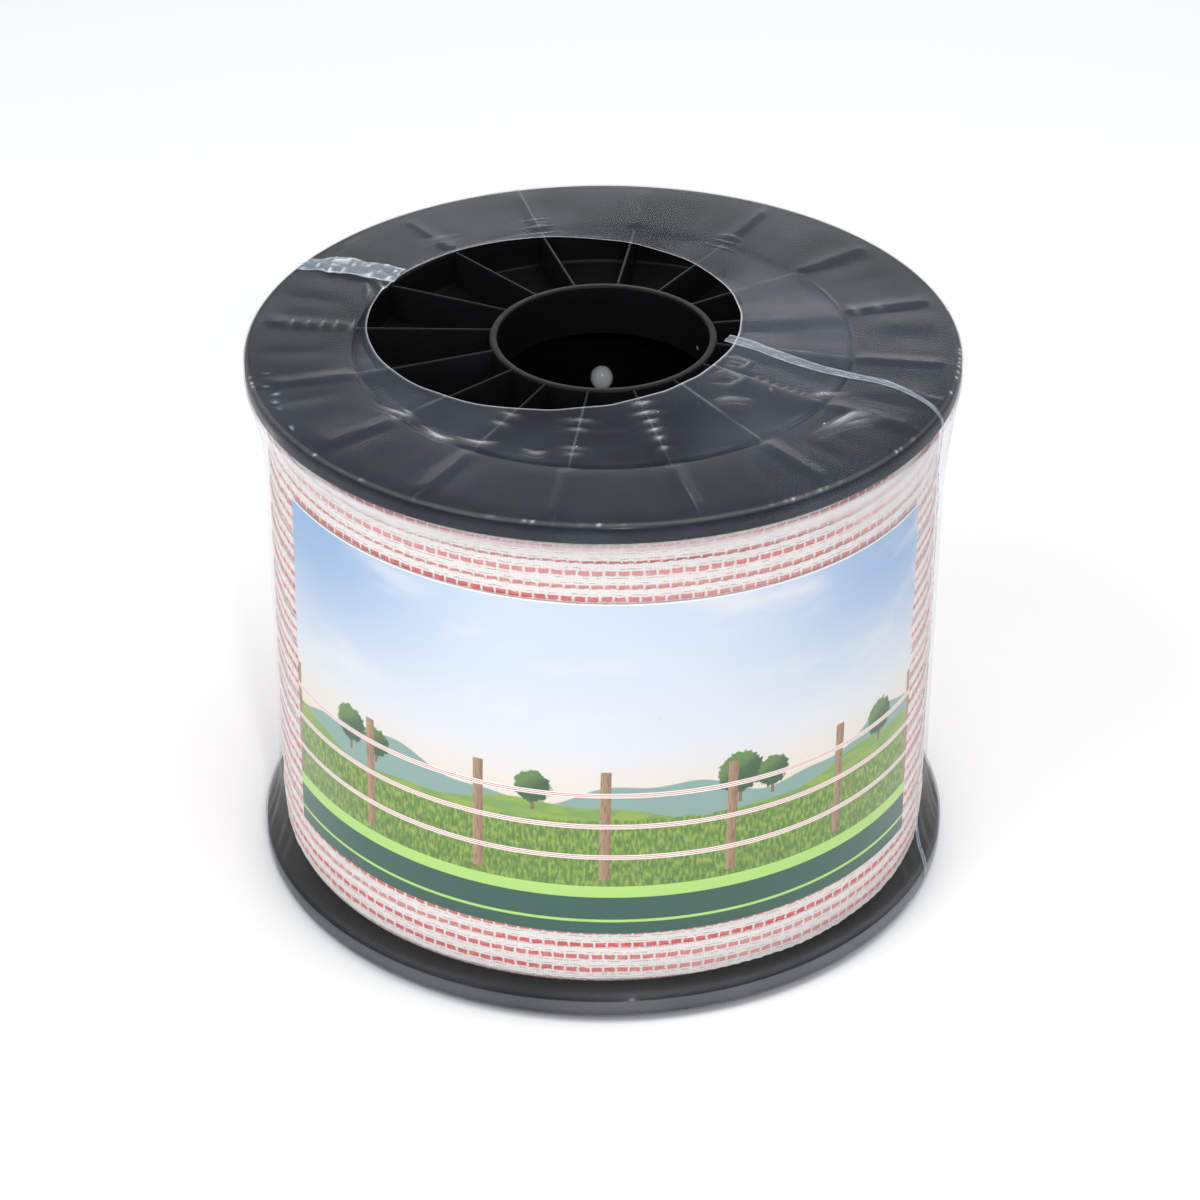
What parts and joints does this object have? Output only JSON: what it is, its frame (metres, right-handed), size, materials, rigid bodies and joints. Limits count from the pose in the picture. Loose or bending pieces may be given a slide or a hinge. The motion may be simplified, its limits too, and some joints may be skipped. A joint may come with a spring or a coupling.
{
  "type": "electric fence tape reel",
  "caption": "Woven fence tape with two red stripes, wound on a black ribbed plastic spool, with a picture label under clear shrink film.",
  "frame": {"origin": "centre of the lower hub collar's end, which the reel stands on", "axes": "+Z along the reel's axis, from the lower flange to the upper; -Y towards the label's middle; +X to the label's right"},
  "size_m": [0.181, 0.181, 0.1477],
  "materials": {
    "spool_plastic": "black moulded plastic, satin, lightly scuffed",
    "tape_weave": "white woven monofilament tape with two dashed red stripes and fine steel wires",
    "label_paper": "printed coated paper with a plain field-and-fence picture",
    "clear_film": "clear shrink film, glossy, wrinkled over ribs and rim"
  },
  "bodies": {
    "root": {"upper_spool_half": "spool_plastic", "lower_spool_half": "spool_plastic", "tape_winding": "tape_weave", "label": "label_paper", "shrink_film": "clear_film"}
  },
  "joints": []
}
